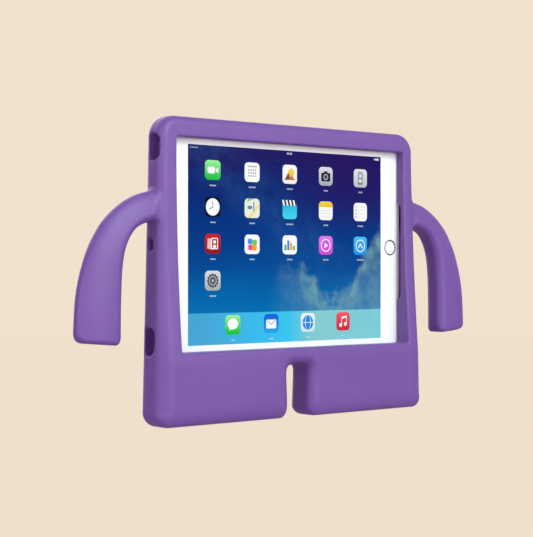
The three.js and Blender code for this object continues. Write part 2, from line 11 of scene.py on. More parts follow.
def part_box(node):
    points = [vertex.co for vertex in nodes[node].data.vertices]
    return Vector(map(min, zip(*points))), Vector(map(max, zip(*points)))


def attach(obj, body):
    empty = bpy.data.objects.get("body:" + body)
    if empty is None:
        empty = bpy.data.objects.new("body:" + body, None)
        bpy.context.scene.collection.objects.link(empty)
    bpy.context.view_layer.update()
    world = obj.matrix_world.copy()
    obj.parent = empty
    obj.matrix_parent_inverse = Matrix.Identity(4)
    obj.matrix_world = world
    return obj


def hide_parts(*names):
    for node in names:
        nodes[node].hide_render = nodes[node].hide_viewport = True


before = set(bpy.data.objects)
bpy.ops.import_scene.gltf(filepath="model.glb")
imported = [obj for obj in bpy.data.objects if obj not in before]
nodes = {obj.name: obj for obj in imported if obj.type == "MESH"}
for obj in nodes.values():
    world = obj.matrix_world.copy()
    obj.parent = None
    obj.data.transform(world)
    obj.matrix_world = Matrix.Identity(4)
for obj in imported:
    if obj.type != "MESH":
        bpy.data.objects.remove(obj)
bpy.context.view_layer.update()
scene = bpy.context.scene
MM = 0.001


def srgb(red, green, blue):
    """A linear colour from 0 to 255 display values."""
    def linear(v):
        v = v / 255
        return v / 12.92 if v <= 0.04045 else ((v + 0.055) / 1.055) ** 2.4
    return (linear(red), linear(green), linear(blue), 1.0)


def grey(value):
    return (value, value, value, 1.0)


def box_mm(name):
    """The two corners of a CAD node's box, in millimetres."""
    low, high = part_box(name)
    return np.array(low) / MM, np.array(high) / MM


def middle_of(name):
    low, high = box_mm(name)
    return (low + high) / 2


def depth_of(name):
    """Where a node starts and ends along Y."""
    low, high = box_mm(name)
    return low[1], high[1]


def in_scene(name, data):
    made = bpy.data.objects.new(name, data)
    scene.collection.objects.link(made)
    return made


# ---- Materials ----
class Nodes:
    """A material's node tree, with short ways to add nodes and links."""

    def __init__(self, name):
        self.material = bpy.data.materials.new(name)
        self.material.use_nodes = True
        self.tree = self.material.node_tree
        self.shader = self.tree.nodes["Principled BSDF"]

    def feed(self, socket, value):
        """Links an output, or sets a number or colour."""
        if hasattr(value, "is_linked"):
            self.tree.links.new(value, socket)
        else:
            socket.default_value = value

    def add(self, kind, **values):
        """A new node with its settings and inputs, _ standing for a space."""
        made = self.tree.nodes.new(kind)
        for key, value in values.items():
            if hasattr(made, key):
                setattr(made, key, value)
            else:
                self.feed(made.inputs[key.replace("_", " ")], value)
        return made

    def set(self, **values):
        """Feeds the shader's own inputs."""
        for key, value in values.items():
            self.feed(self.shader.inputs[key.replace("_", " ")], value)

    def place(self):
        """The surface point, in the object's own metres."""
        return self.add("ShaderNodeTexCoord").outputs["Object"]

    def noise(self, scale, detail=2.0, roughness=0.5, point=None):
        point = point or self.place()
        made = self.add("ShaderNodeTexNoise", Vector=point, Scale=scale, Detail=detail, Roughness=roughness)
        return made.outputs["Fac"]

    def ramp(self, factor, *stops):
        """A colour ramp through (position, colour) stops."""
        made = self.add("ShaderNodeValToRGB", Fac=factor)
        elements = made.color_ramp.elements
        while len(elements) < len(stops):
            elements.new(0.5)
        for element, stop in zip(elements, stops):
            element.position, element.color = stop
        return made.outputs["Color"]

    def range(self, value, low, high, shape="SMOOTHSTEP"):
        """value taken from low to high onto 0 to 1."""
        made = self.add(
            "ShaderNodeMapRange", interpolation_type=shape, Value=value, From_Min=low, From_Max=high)
        return made.outputs["Result"]

    def math(self, operation, *values):
        made = self.add("ShaderNodeMath", operation=operation)
        for socket, value in zip(made.inputs, values):
            self.feed(socket, value)
        return made.outputs["Value"]

    def mix(self, factor, under, over):
        """Colour over on colour under."""
        made = self.add("ShaderNodeMix", data_type="RGBA", Factor=factor)
        # Its colour sockets share their names with those for numbers, so they go by their places.
        self.feed(made.inputs[6], under)
        self.feed(made.inputs[7], over)
        return made.outputs[2]

    def bump(self, height, distance, strength, **under):
        made = self.add("ShaderNodeBump", Height=height, Distance=distance, Strength=strength, **under)
        return made.outputs["Normal"]


def foam_material():
    """Closed-cell foam: a satin skin with fine pores, and slightly uneven pigment."""
    n = Nodes("moulded_foam")
    n.set(Base_Color=n.ramp(n.noise(28.0, 4.0, 0.55), (0.3, srgb(98, 69, 136)), (0.7, srgb(103, 73, 141))))
    n.set(Roughness=n.ramp(n.noise(900.0, 3.0), (0.35, grey(0.47)), (0.7, grey(0.57))))
    pores = n.bump(n.noise(2600.0, 3.0, 0.6), 0.00006, 0.5)
    n.set(Normal=n.bump(n.noise(60.0), 0.0006, 0.25, Normal=pores))
    n.set(Sheen_Weight=0.04, Sheen_Roughness=0.5, Specular_IOR_Level=0.5)
    n.set(Subsurface_Weight=0.4, Subsurface_Radius=(1.0, 0.35, 1.2), Subsurface_Scale=0.006)
    return n.material


# ---- The foam case as one fine surface ----
# A field in millimetres, negative inside the foam, is sampled on a grid that is finer at the edges,
# and its zero surface becomes the mesh.
CASE_LOW, CASE_HIGH = box_mm("foam_case")
TABLET_LOW, TABLET_HIGH = box_mm("rear_shell")
GLASS_LOW, GLASS_HIGH = box_mm("front_glass")
CASE_FRONT, CASE_BACK, CASE_TOP = CASE_LOW[1], CASE_HIGH[1], CASE_HIGH[2]
LEFT, RIGHT, TOP = TABLET_LOW[0], TABLET_HIGH[0], TABLET_HIGH[2]
_, MIDDLE_Y, MIDDLE_Z = middle_of("rear_shell")
# The body, whose front leans out from a thin lip at the top to thick legs.
HALF_WIDTH_TOP, HALF_WIDTH_BOTTOM = 128.5, 134.6
LIP_TOP = -6.4
FLARE_FROM, FLARE_TO = 200.0, 46.0
TOP_CORNER, BOTTOM_CORNER = 15.0, 11.0
SIDE_EDGE_TOP, SIDE_EDGE_LEGS, SOLE_EDGE, BACK_EDGE = 6.5, 12.5, 6.5, 8.0
# The gap between the legs, which widens a little on its way up.
GAP_MIDDLE, GAP_TOP, GAP_ROUND, GAP_EDGE = -1.9, 40.0, 5.0, 8.5
GAP_HALF_BOTTOM, GAP_HALF_TOP, GAP_WIDENS_FROM, GAP_WIDENS_TO = 9.7, 10.8, 6.0, 30.0
# The arms, by the two sides of the right one. The crown rounds their outer side.
ARM_FRONT, ARM_BACK, ARM_ROOT, ARM_FILLET = -7.2, 11.8, 128.0, 4.5
ARM_EDGE, ARM_CORNER, ARM_CORNER_LAP, ARM_TIP_EDGE, ARM_SMALL_EDGE = 8.0, 8.0, 1.5, 3.0, 0.5
ARM_STEPS, ARM_OVERRUN = 32, 20.0
CROWN_WIDTH, CROWN_DEPTH, CROWN_INBOARD, CROWN_TOP = 25.0, 9.4, 90.0, 171.0
ARM_OUTER = [
    (122, 171.8), (134.1, 169.8), (146, 166.5), (157, 160.8), (167, 153.1),
    (176, 143.2), (186.4, 124.6), (194.2, 97), (196.6, 62.7),
]
ARM_INNER = [(122, 148.5), (135, 147), (147, 141.8), (154.8, 130.5), (158.4, 115), (159.7, 90), (160, 59.7)]
# The window over the screen, and the pocket for the tablet behind it.
WINDOW_LEFT, WINDOW_RIGHT, WINDOW_BOTTOM, WINDOW_TOP = -114.3, 116.5, 53.0, 209.3
WINDOW_CORNER, WINDOW_EDGE = 2.5, 1.6
POCKET_CLEARANCE, POCKET_CORNER, POCKET_EDGE = 0.3, 9.3, 0.8
# The holes, which start HOLE_LAP inside the pocket or the window. A slot is given by its middle
# along and across it, its size and its width.
HOLE_EDGE, HOLE_LAP = 1.5, 1.0
SLEEP_Z, JACK_Z = 201.4, 61.4
LEFT_SLOTS = [(SLEEP_Z, 3.35, 20, 13), (JACK_Z, 3.35, 20.5, 13), (MIDDLE_Z, 3.35, 8.7, 5.4)]
LEFT_SLOTS_END = LEFT - 19
VOLUME_SLOT = (-75.25, 6.4, 50, 8.8)
DOCK_Y, DOCK_Z, DOCK_SIZE, DOCK_WIDTH, DOCK_EDGE, DOCK_ROOT_LAP = 4.8, 128.2, 80.6, 8.8, 0.6, 0.8
DOCK_FLARE, DOCK_FLARE_FROM, DOCK_FLARE_TO = 3.4, WINDOW_RIGHT + 7, WINDOW_RIGHT + 2
CAMERA_HOLE_X, CAMERA_HOLE_Z, CAMERA_HOLE_RADIUS = -108.5, 204.5, 9.0


def length(a, b):
    return np.sqrt(a * a + b * b)


def both(a, b, radius):
    """Inside a and b, with a round edge of that radius where they meet."""
    past = length(np.maximum(a + radius, 0), np.maximum(b + radius, 0))
    return np.minimum(np.maximum(a, b), -radius) + past


def either(a, b, radius):
    """Inside a or b, with a fillet of that radius where they meet."""
    return -both(-a, -b, radius)


def without(a, b, radius):
    return both(a, -b, radius)


def between(v, low, high):
    """Negative where v is between low and high."""
    return np.abs(v - (low + high) / 2) - (high - low) / 2


def slot(along, across, middle_along, middle_across, size, width):
    """A slot with round ends, seen along its hole."""
    past_straight = np.maximum(np.abs(along - middle_along) - (size - width) / 2, 0)
    return length(past_straight, across - middle_across) - width / 2


def progress(v, start, end):
    """How far v is on its way from start to end, from 0 to 1."""
    return np.clip((v - start) / (end - start), 0, 1)


def mix(a, b, t):
    return a + (b - a) * t


def curve_through(points):
    """Points along a Catmull-Rom curve through the given ones."""
    p = np.array(points, float)
    ends = np.vstack([2 * p[0] - p[1], p, 2 * p[-1] - p[-2]])
    t = np.linspace(0, len(p) - 1, ARM_STEPS)
    i = np.minimum(t.astype(int), len(p) - 2)
    f = (t - i)[:, None]
    a, b, c, d = ends[i], ends[i + 1], ends[i + 2], ends[i + 3]
    square, cube = 2 * a - 5 * b + 4 * c - d, 3 * b - a - 3 * c + d
    return 0.5 * (2 * b + (c - a) * f + square * f**2 + cube * f**3)


def arm_side(points):
    """The curve through an arm's side, run straight on past its tip."""
    curve = curve_through(points)
    ahead = curve[-1] - curve[-2]
    return np.vstack([curve, curve[-1] + ahead * ARM_OVERRUN / np.linalg.norm(ahead)])


def polygon(u, v, corners):
    """Signed distance to a closed outline."""
    nearest = np.full(np.broadcast_shapes(u.shape, v.shape), 1e9)
    inside = np.zeros(nearest.shape, bool)
    for (x0, z0), (x1, z1) in zip(corners, np.roll(corners, -1, axis=0)):
        ex, ez = x1 - x0, z1 - z0
        t = np.clip(((u - x0) * ex + (v - z0) * ez) / (ex * ex + ez * ez), 0, 1)
        nearest = np.minimum(nearest, (u - x0 - t * ex) ** 2 + (v - z0 - t * ez) ** 2)
        crosses = ((z0 > v) != (z1 > v)) & (u < x0 + (v - z0) * ex / (ez if ez else 1e-9))
        inside = inside ^ crosses
    return np.where(inside, -1, 1) * np.sqrt(nearest)


def foam_field(x, y, z):
    """The field on a grid: x, y and z broadcast against each other."""
    side = np.abs(x) - mix(HALF_WIDTH_BOTTOM, HALF_WIDTH_TOP, z / CASE_TOP)
    outline = both(both(side, z - CASE_TOP, TOP_CORNER), -z, BOTTOM_CORNER)
    flare = progress(z, FLARE_FROM, FLARE_TO) ** 2
    front = mix(LIP_TOP, CASE_FRONT, flare) - y
    front_edge = mix(SOLE_EDGE, mix(SIDE_EDGE_TOP, SIDE_EDGE_LEGS, flare), progress(z, 0, BOTTOM_CORNER))
    body = both(both(outline, front, front_edge), y - CASE_BACK, BACK_EDGE)

    gap_half = mix(GAP_HALF_BOTTOM, GAP_HALF_TOP, progress(z, GAP_WIDENS_FROM, GAP_WIDENS_TO))
    gap = both(np.abs(x - GAP_MIDDLE) - gap_half, z - GAP_TOP, GAP_ROUND)
    body = without(body, gap, GAP_EDGE)

    outer, inner = arm_side(ARM_OUTER), arm_side(ARM_INNER)
    width = np.abs(x)
    arm_outline = both(polygon(width, z, np.vstack([outer, inner[::-1]])), ARM_ROOT - width, ARM_SMALL_EDGE)
    (tip_x, tip_z), (end_x, end_z) = ARM_INNER[-1], ARM_OUTER[-1]
    slope = (end_z - tip_z) / (end_x - tip_x)
    beyond_tip = (tip_z + (width - tip_x) * slope - z) / math.hypot(1, slope)
    arm_depth = between(y, ARM_FRONT, ARM_BACK)
    arm = both(arm_outline, arm_depth, ARM_EDGE)
    # Its outer side is crowned: there the edges are much wider than they are deep.
    crown_outline = np.vstack([[(CROWN_INBOARD, CROWN_TOP)], outer, [(CROWN_INBOARD, outer[-1][1])]])
    crown = both(polygon(width, z, crown_outline) * CROWN_DEPTH / CROWN_WIDTH, arm_depth, CROWN_DEPTH)
    arm = both(arm, crown, ARM_SMALL_EDGE)
    arm = both(arm, both(arm_outline - ARM_CORNER_LAP, beyond_tip, ARM_CORNER), ARM_TIP_EDGE)
    foam = either(body, arm, ARM_FILLET)

    wide, tall = between(x, WINDOW_LEFT, WINDOW_RIGHT), between(z, WINDOW_BOTTOM, WINDOW_TOP)
    window = np.maximum(both(wide, tall, WINDOW_CORNER), y - MIDDLE_Y)
    spare = POCKET_CLEARANCE
    half_height = (TABLET_HIGH[2] - TABLET_LOW[2]) / 2 + spare
    pocket = both(np.abs(x) - RIGHT - spare, np.abs(z - MIDDLE_Z) - half_height, POCKET_CORNER)
    pocket = np.maximum(pocket, between(y, GLASS_LOW[1] - spare, TABLET_HIGH[1] + spare))
    foam = without(foam, either(window, pocket, POCKET_EDGE), WINDOW_EDGE)

    # The left slots stop short of the arm.
    left_slots = np.minimum.reduce([slot(z, y, *place_and_size) for place_and_size in LEFT_SLOTS])
    left_wall = between(x, LEFT_SLOTS_END, LEFT + HOLE_LAP)
    foam = without(foam, np.maximum(left_slots, left_wall), HOLE_EDGE)
    # The right slot is wider where it meets the window, and shows as a dark line beside the pane.
    flare = DOCK_FLARE * progress(x, DOCK_FLARE_FROM, DOCK_FLARE_TO)
    dock_slot = slot(z, y, DOCK_Z, DOCK_Y - flare / 2, DOCK_SIZE, DOCK_WIDTH + flare)
    # It ends just past the side wall, so the arm's root bridges its upper end.
    right_wall = np.maximum(WINDOW_RIGHT - HOLE_LAP - x, side - DOCK_ROOT_LAP)
    foam = without(foam, np.maximum(dock_slot, right_wall), DOCK_EDGE)
    foam = without(foam, np.maximum(slot(x, y, *VOLUME_SLOT), TOP - HOLE_LAP - z), HOLE_EDGE)
    camera_hole = length(x - CAMERA_HOLE_X, z - CAMERA_HOLE_Z) - CAMERA_HOLE_RADIUS
    return without(foam, np.maximum(camera_hole, TABLET_HIGH[1] - HOLE_LAP - y), HOLE_EDGE)


def axis(*stretches):
    """Grid places from (end, step) stretches, the first of which gives only the start."""
    places = [stretches[0]]
    for end, step in stretches[1:]:
        count = max(1, round((end - places[-1]) / step))
        places.extend(np.linspace(places[-1], end, count + 1)[1:])
    return np.array(places)


def mirrored(places):
    return np.concatenate([-places[:0:-1], places])


GRID_X = mirrored(axis(0, (25, 1.1), (104, 2.2), (112, 1.4), (119, 0.7), (138, 1.0), (199, 1.35)))
GRID_Y = axis(-16, (1, 0.9), (4, 0.7), (8, 1.0), (16, 0.9))
GRID_Z = axis(-2, (12, 1.0), (50, 1.4), (56, 0.7), (140, 1.5), (205, 1.3), (212, 0.7), (226.5, 0.9))


def gradient(points):
    """The field's slope at scattered points, from small steps each way."""
    step = 0.02
    sides = [(foam_field(*(points + move).T), foam_field(*(points - move).T)) for move in step * np.eye(3)]
    return np.stack([(ahead - behind) / (2 * step) for ahead, behind in sides], axis=1)


def foam_mesh():
    """The field's zero surface, with its points drawn onto it in a few damped steps."""
    rounds, damping, least_slope, far = 3, 0.8, 0.2, 100.0
    places = (GRID_X, GRID_Y, GRID_Z)
    field = foam_field(GRID_X[:, None, None], GRID_Y[None, :, None], GRID_Z[None, None, :])
    field = np.broadcast_to(field, [len(k) for k in places])
    grid = openvdb.FloatGrid(far)
    grid.copyFromArray(np.ascontiguousarray(field, np.float32))
    steps, quads = grid.convertToQuads(isovalue=0.0)
    columns = [np.interp(step, np.arange(len(place)), place) for step, place in zip(steps.T, places)]
    points = np.stack(columns, axis=1)
    for _ in range(rounds):
        slope = gradient(points)
        size = np.maximum((slope**2).sum(axis=1), least_slope)
        points -= damping * (foam_field(*points.T) / size)[:, None] * slope
    points = np.clip(points, CASE_LOW, CASE_HIGH)
    mesh = bpy.data.meshes.new("foam_case_skin")
    mesh.from_pydata((points * MM).tolist(), [], quads[:, ::-1].tolist())
    mesh.shade_smooth()
    return mesh


foam = in_scene("foam_case_skin", foam_mesh())
foam.data.materials.append(foam_material())
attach(foam, "case")
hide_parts("foam_case")


# ---- The screen's picture ----
# Flat shapes in millimetres from the screen's middle, later ones over earlier ones. Each shape
# has a colour, or two for a blend from its bottom to its top.
SCREEN_SIZE = (197.1, 147.8)
ICON, ICON_CORNER = 14.7, 3.3
LABEL_DROP, LETTER_PITCH, LETTER_HEIGHT = 11.4, 0.62, 1.05
COLUMNS = [37.75 * k for k in (-2, -1, 0, 1, 2)]
ROWS = [55.7, 28.4, 1.1, -26.2]
DOCK_HEIGHT, DOCK_ROW = 23.6, -59.4
DOCK_COLUMNS = [37.6 * k for k in (-1.5, -0.5, 0.5, 1.5)]
STARS = 110
WHITE, PALE, DARK = (250, 251, 252), (205, 214, 224), (38, 36, 48)


def rounded(u, v, width, height, corner, steps=6):
    """The outline of a rectangle with round corners, about (u, v)."""
    points = []
    for quarter, (su, sv) in enumerate([(1, 1), (-1, 1), (-1, -1), (1, -1)]):
        x, y = u + su * (width / 2 - corner), v + sv * (height / 2 - corner)
        turns = [(quarter + k / steps) * math.pi / 2 for k in range(steps + 1)]
        points += [(x + corner * math.cos(a), y + corner * math.sin(a)) for a in turns]
    return points


def disc(u, v, radius, steps=28):
    turns = [2 * math.pi * k / steps for k in range(steps)]
    return [(u + radius * math.cos(a), v + radius * math.sin(a)) for a in turns]


def block(u, v, width, height):
    corners = ((-1, -1), (1, -1), (1, 1), (-1, 1))
    return [(u + a * width / 2, v + b * height / 2) for a, b in corners]


def strip(a, b):
    """Faces between two closed rings of vertex numbers."""
    return list(zip(a, a[1:] + a[:1], b[1:] + b[:1], b))


def anticlockwise(points):
    area = sum(a[0] * b[1] - b[0] * a[1] for a, b in zip(points, points[1:] + points[:1]))
    return points if area > 0 else points[::-1]


class Picture:
    """The shapes of the picture, and an icon's shapes about its own middle."""

    def __init__(self):
        self.shapes = []
        self.at = (0, 0)

    def draw(self, points, bottom, top=None):
        moved = [(u + self.at[0], v + self.at[1]) for u, v in points]
        self.shapes.append((anticlockwise(moved), bottom, top or bottom))

    def icon(self, u, v, bottom, top=None):
        self.at = (u, v)
        self.draw(rounded(0, 0, ICON, ICON, ICON_CORNER), bottom, top)

    def label(self, letters):
        """Small dashes where a name would be, some of them wider."""
        for k in range(letters):
            width = 0.5 if (k * 7 + letters) % 3 == 0 else 0.34
            place = LETTER_PITCH * (k + 0.5 - letters / 2)
            self.draw(block(place, -LABEL_DROP, width, LETTER_HEIGHT), PALE)


def camcorder(p):
    p.draw(rounded(-1.4, 0, 7, 4.8, 1.2), WHITE)
    p.draw([(2.7, 0.4), (5.2, 2.2), (5.2, -2.2), (2.7, -0.4)], WHITE)


def calendar(p):
    p.draw(block(0, 4.3, 9, 0.7), (150, 150, 158))
    for k in range(12):
        p.draw(disc(-3.3 + 2.2 * (k % 4), 1.6 - 2.2 * (k // 4), 0.62, 10), (120, 120, 130))


def landscape(p):
    p.draw(disc(1.4, 1.5, 3.2), (245, 190, 60), (250, 215, 90))
    p.draw([(-5.2, -4.4), (-1.6, 1.4), (1.6, -4.4)], (122, 84, 70))
    p.draw([(-1.4, -4.4), (2.2, -0.6), (5.4, -4.4)], (214, 120, 60))


def photo_camera(p):
    p.draw(rounded(0, -0.6, 9.6, 6.8, 1.2), DARK)
    p.draw(block(0, 3.2, 3.6, 1.6), DARK)
    p.draw(disc(0, -0.6, 2.4), (196, 198, 206))
    p.draw(disc(0, -0.6, 1.7), (70, 66, 84))


def address_book(p):
    p.draw(rounded(0, 0, 5.6, 10.6, 1.2), (120, 130, 140), (166, 174, 182))
    p.draw(disc(0, 1.8, 1.5), (214, 222, 228))
    p.draw(rounded(0, -2.2, 4, 2.8, 1.3), (214, 222, 228))


def clock(p):
    p.draw(disc(0, 0, 6.4), WHITE)
    p.draw(block(0, 2, 0.5, 4.8), DARK)
    p.draw([(-3.4, -1.5), (-3.1, -1.9), (0.4, -0.2), (0.1, 0.3)], DARK)


def street_map(p):
    p.draw([(-7.3, -2), (-7.3, 3.6), (2, 7.3), (-4, 7.3)], (150, 200, 140))
    p.draw([(-4.5, -7.3), (-1.4, -7.3), (7.3, 1.2), (7.3, 4.2)], (244, 226, 140))
    p.draw(block(1.7, 1.1, 1, 7), (70, 120, 180))
    p.draw(rounded(-2.2, 0.6, 4.6, 2.6, 1.1), (120, 138, 150))


def clapper(p):
    p.draw(block(0, 5.2, 14.2, 4.2), DARK)
    for k in range(4):
        left = -6.6 + 3.6 * k
        p.draw([(left, 3.1), (left + 1.7, 3.1), (left + 0.5, 7.3), (left - 1.2, 7.3)], WHITE)


def notes(p):
    binding = [(-7.3, 3.0), (7.3, 3.0), (7.1, 5.6), (5.6, 7.1), (-5.6, 7.1), (-7.1, 5.6)]
    p.draw(binding, (236, 194, 40), (250, 214, 70))
    for k in range(3):
        p.draw(block(0, 0.4 - 2.3 * k, 11, 0.28), (206, 206, 212))


def reminders(p):
    for k, colour in enumerate(((240, 150, 60), (90, 170, 230), (130, 200, 90), (190, 110, 210))):
        p.draw(disc(-4.9, 4.2 - 2.8 * k, 0.75, 12), colour)
        p.draw(block(0.9, 4.2 - 2.8 * k, 8.4, 0.32), (198, 198, 206))


def photo_strip(p):
    p.draw([(-5.2, -3.6), (0.4, -4.4), (1.0, 3.4), (-4.8, 4.0)], (240, 190, 186))
    p.draw(rounded(1.7, 0.2, 6.4, 8.4, 0.6), WHITE)
    p.draw(rounded(1.7, 0.2, 4.9, 6.9, 0.4), (176, 40, 44))
    p.draw(disc(1.7, 1.4, 1.3, 16), WHITE)
    p.draw(rounded(1.7, -1.9, 3.2, 2.2, 1.0), WHITE)


def tiles(p):
    for u, v, colour in ((-2.1, 2.2, (70, 150, 230)), (2.4, 1.5, (120, 200, 80)),
                         (-1.6, -2.3, (235, 80, 140)), (2.3, -2.7, (250, 160, 50))):
        p.draw(rounded(u, v, 4.6, 4.2, 1.3), colour)


def bars(p):
    columns = (4.4, (60, 170, 120)), (7.6, (70, 130, 200)), (6.0, (240, 170, 60)), (3.6, (120, 190, 90))
    for k, (height, colour) in enumerate(columns):
        p.draw(rounded(-4.4 + 2.9 * k, -4.2 + height / 2, 2.2, height, 0.5), colour)


def play_ring(p):
    p.draw(disc(0, 0, 5.1), WHITE)
    p.draw(disc(0, 0, 4.3), (212, 84, 222))
    p.draw([(-1.3, -2.2), (2.4, 0), (-1.3, 2.2)], WHITE)


def up_ring(p):
    p.draw(disc(0, 0, 5.1), WHITE)
    p.draw(disc(0, 0, 4.3), (44, 160, 238))
    p.draw([(-2.6, -1.3), (-1.7, -1.9), (0, 0.8), (1.7, -1.9), (2.6, -1.3), (0, 2.4)], WHITE)


def cog(p):
    teeth = zip(disc(0, 0, 1, 48), [5.5, 5.5, 4.7, 4.7] * 12)
    p.draw([(radius * u, radius * v) for (u, v), radius in teeth], (74, 74, 84))
    p.draw(disc(0, 0, 3.7), (176, 178, 186))
    p.draw(disc(0, 0, 2.9), (92, 92, 102))
    p.draw(disc(0, 0, 1.0, 16), (196, 198, 204))


def speech(p):
    p.draw([(-3.2, -4.6), (-1.2, -2.6), (-3.2, -1.8)], WHITE)
    p.draw([(5.0 * u, 0.7 + 4.1 * v) for u, v in disc(0, 0, 1)], WHITE)


def envelope(p):
    p.draw(rounded(0, -0.3, 10, 6.8, 0.8), WHITE)
    p.draw([(-4.4, 2.3), (-3.8, 2.7), (0, -0.1), (3.8, 2.7), (4.4, 2.3), (0, -1.0)], (120, 170, 226))


def globe(p):
    p.draw(disc(0, 0, 5.6), (24, 116, 206), (58, 160, 236))
    for half, colour in ((3.1, (226, 240, 250)), (2.5, (40, 138, 222))):
        p.draw([(half * u, 5.6 * v) for u, v in disc(0, 0, 1, 24)], colour)
    p.draw(block(0, 0, 11, 0.5), (226, 240, 250))


def music_note(p):
    p.draw(disc(-2.6, -3.0, 1.5, 16), WHITE)
    p.draw(disc(2.6, -2.2, 1.5, 16), WHITE)
    p.draw([(-1.7, -3), (-1.1, -3), (-1.1, 3.4), (-1.7, 3.2)], WHITE)
    p.draw([(3.5, -2.2), (4.1, -2.2), (4.1, 4.6), (3.5, 4.4)], WHITE)
    p.draw([(-1.7, 2.0), (4.1, 3.2), (4.1, 4.7), (-1.7, 3.5)], WHITE)


GREEN = ((20, 190, 62), (164, 244, 160))
GREY = ((168, 172, 180), (222, 224, 230))
SILVER = ((186, 196, 200), (226, 232, 232))
HOME_ICONS = [
    [(camcorder, *GREEN), (calendar, WHITE), (landscape, (246, 240, 234), WHITE), (photo_camera, *GREY),
     (address_book, *SILVER)],
    [(clock, (22, 20, 36)), (street_map, (232, 240, 226)), (clapper, (70, 216, 240), (40, 170, 226)),
     (notes, (248, 248, 244)), (reminders, WHITE)],
    [(photo_strip, (150, 22, 30), (206, 40, 44)), (tiles, WHITE), (bars, WHITE),
     (play_ring, (208, 76, 216), (226, 128, 238)), (up_ring, (36, 146, 232), (70, 196, 246))],
    [(cog, *GREY)],
]
DOCK_ICONS = [
    (speech, *GREEN), (envelope, (32, 170, 240), (22, 96, 214)), (globe, (206, 230, 240), (236, 246, 250)),
    (music_note, (206, 40, 62), (246, 92, 104)),
]


def home_screen():
    """Everything on the screen but its wallpaper."""
    p = Picture()
    chance = np.random.default_rng(5)
    for _ in range(STARS):
        u = chance.uniform(-0.49, 0.49) * SCREEN_SIZE[0]
        v = chance.uniform(-0.1, 0.46) * SCREEN_SIZE[1]
        glow = chance.uniform(0.3, 0.75)
        p.draw(disc(u, v, chance.uniform(0.12, 0.3), 6), tuple(int(c * glow) for c in (150, 190, 235)))
    # The dots, dashes and battery of the status row.
    status = SCREEN_SIZE[1] / 2 - 2.2
    for k in range(5):
        p.draw(disc(-96 + 1.5 * k, status, 0.45, 8), PALE)
    for k in range(4):
        p.draw(block(-2.4 + 1.4 * k, status, 0.8, 1.5), PALE)
    p.draw(rounded(94.2, status, 4.4, 1.7, 0.4, 2), PALE)
    p.draw(block(91.2, status, 0.9, 1.2), PALE)
    for row, icons in zip(ROWS, HOME_ICONS):
        for column, (glyph, *colours) in zip(COLUMNS, icons):
            p.icon(column, row, *colours)
            glyph(p)
            # A label's length comes from its glyph's name.
            p.label(7 + (len(glyph.__name__) * 5) % 6)
    for column, (glyph, *colours) in zip(DOCK_COLUMNS, DOCK_ICONS):
        p.icon(column, DOCK_ROW, *colours)
        glyph(p)
        p.label(5 + len(glyph.__name__) % 3)
    return p.shapes


GLASS_CORNER, GLASS_BEVEL = 8.2, 0.18
HOME_X, HOME_HOLE = middle_of("home_button_cap")[0], 6.55


def lit(n, colour):
    """Makes the surface a lit screen behind glass."""
    n.set(Emission_Color=colour, Emission_Strength=1.0)
    n.set(Base_Color=grey(0.0), Roughness=0.12, Specular_IOR_Level=0.0)
    return n.material


def wallpaper(name, veil):
    """Night sky over a pale breaking wave. veil lightens it, for the band that holds the lower icons."""
    n = Nodes(name)
    point = n.add("ShaderNodeSeparateXYZ", Vector=n.place())
    half = SCREEN_SIZE[0] / 2 * MM
    across = n.range(point.outputs["X"], -half, half, "LINEAR")
    low = (MIDDLE_Z - SCREEN_SIZE[1] / 2) * MM
    up = n.range(point.outputs["Z"], low, low + SCREEN_SIZE[1] * MM, "LINEAR")
    drift = n.math("MULTIPLY_ADD", n.noise(11.0, 4.0, 0.55), 0.2, -0.1)
    sky = n.ramp(n.math("ADD", up, drift), (0.17, srgb(7, 110, 177)), (0.28, srgb(7, 97, 167)),
                 (0.39, srgb(8, 76, 149)), (0.52, srgb(9, 60, 136)), (0.66, srgb(11, 50, 126)),
                 (0.8, srgb(17, 40, 114)), (0.97, srgb(34, 31, 100)))
    dusk = n.math("MULTIPLY", n.range(across, 0.35, 0.85), n.range(up, 0.5, 0.85))
    sky = n.mix(n.math("MULTIPLY", dusk, 0.7), sky, srgb(42, 20, 96))
    slant = n.math("ABSOLUTE", n.math("SUBTRACT", n.math("MULTIPLY_ADD", across, 0.9, up), 1.04))
    haze = n.math("MULTIPLY", n.range(slant, 0.26, 0.0), n.range(n.noise(40.0, 6.0, 0.6), 0.3, 0.75))
    sky = n.mix(n.math("MULTIPLY", haze, 0.38), sky, srgb(48, 104, 162))
    crest = n.ramp(across, (0.3, grey(0.2)), (0.44, grey(0.4)), (0.56, grey(0.42)), (0.63, grey(0.33)),
                   (0.68, grey(0.24)), (0.73, grey(0.22)), (0.78, grey(0.27)), (0.84, grey(0.35)),
                   (0.9, grey(0.48)), (1.0, grey(0.6)))
    froth = n.math("MULTIPLY_ADD", n.noise(55.0, 6.0, 0.62), 0.36, -0.18)
    depth = n.math("SUBTRACT", n.math("ADD", crest, froth), up)
    near_crest = n.mix(n.range(depth, 0.2, 0.0), grey(0.45), grey(1.0))
    curls = n.math("MULTIPLY_ADD", n.range(n.noise(60.0, 8.0, 0.62), 0.36, 0.68), 0.65, 0.35)
    wave = n.math("MULTIPLY", n.math("MULTIPLY", n.range(depth, -0.02, 0.08), near_crest), curls)
    wave = n.math("MULTIPLY", wave, n.range(across, 0.38, 0.66))
    picture = n.mix(wave, sky, srgb(126, 176, 178))
    glow = n.ramp(across, (0.05, srgb(82, 180, 222)), (0.3, srgb(71, 203, 252)), (0.5, srgb(64, 216, 255)),
                  (0.64, srgb(151, 222, 219)), (0.9, srgb(138, 222, 226)))
    return lit(n, n.mix(veil, picture, glow))


def pixels_material():
    """The icons, in the colours of their corners."""
    n = Nodes("screen_icons")
    return lit(n, n.add("ShaderNodeVertexColor", layer_name="tint").outputs["Color"])


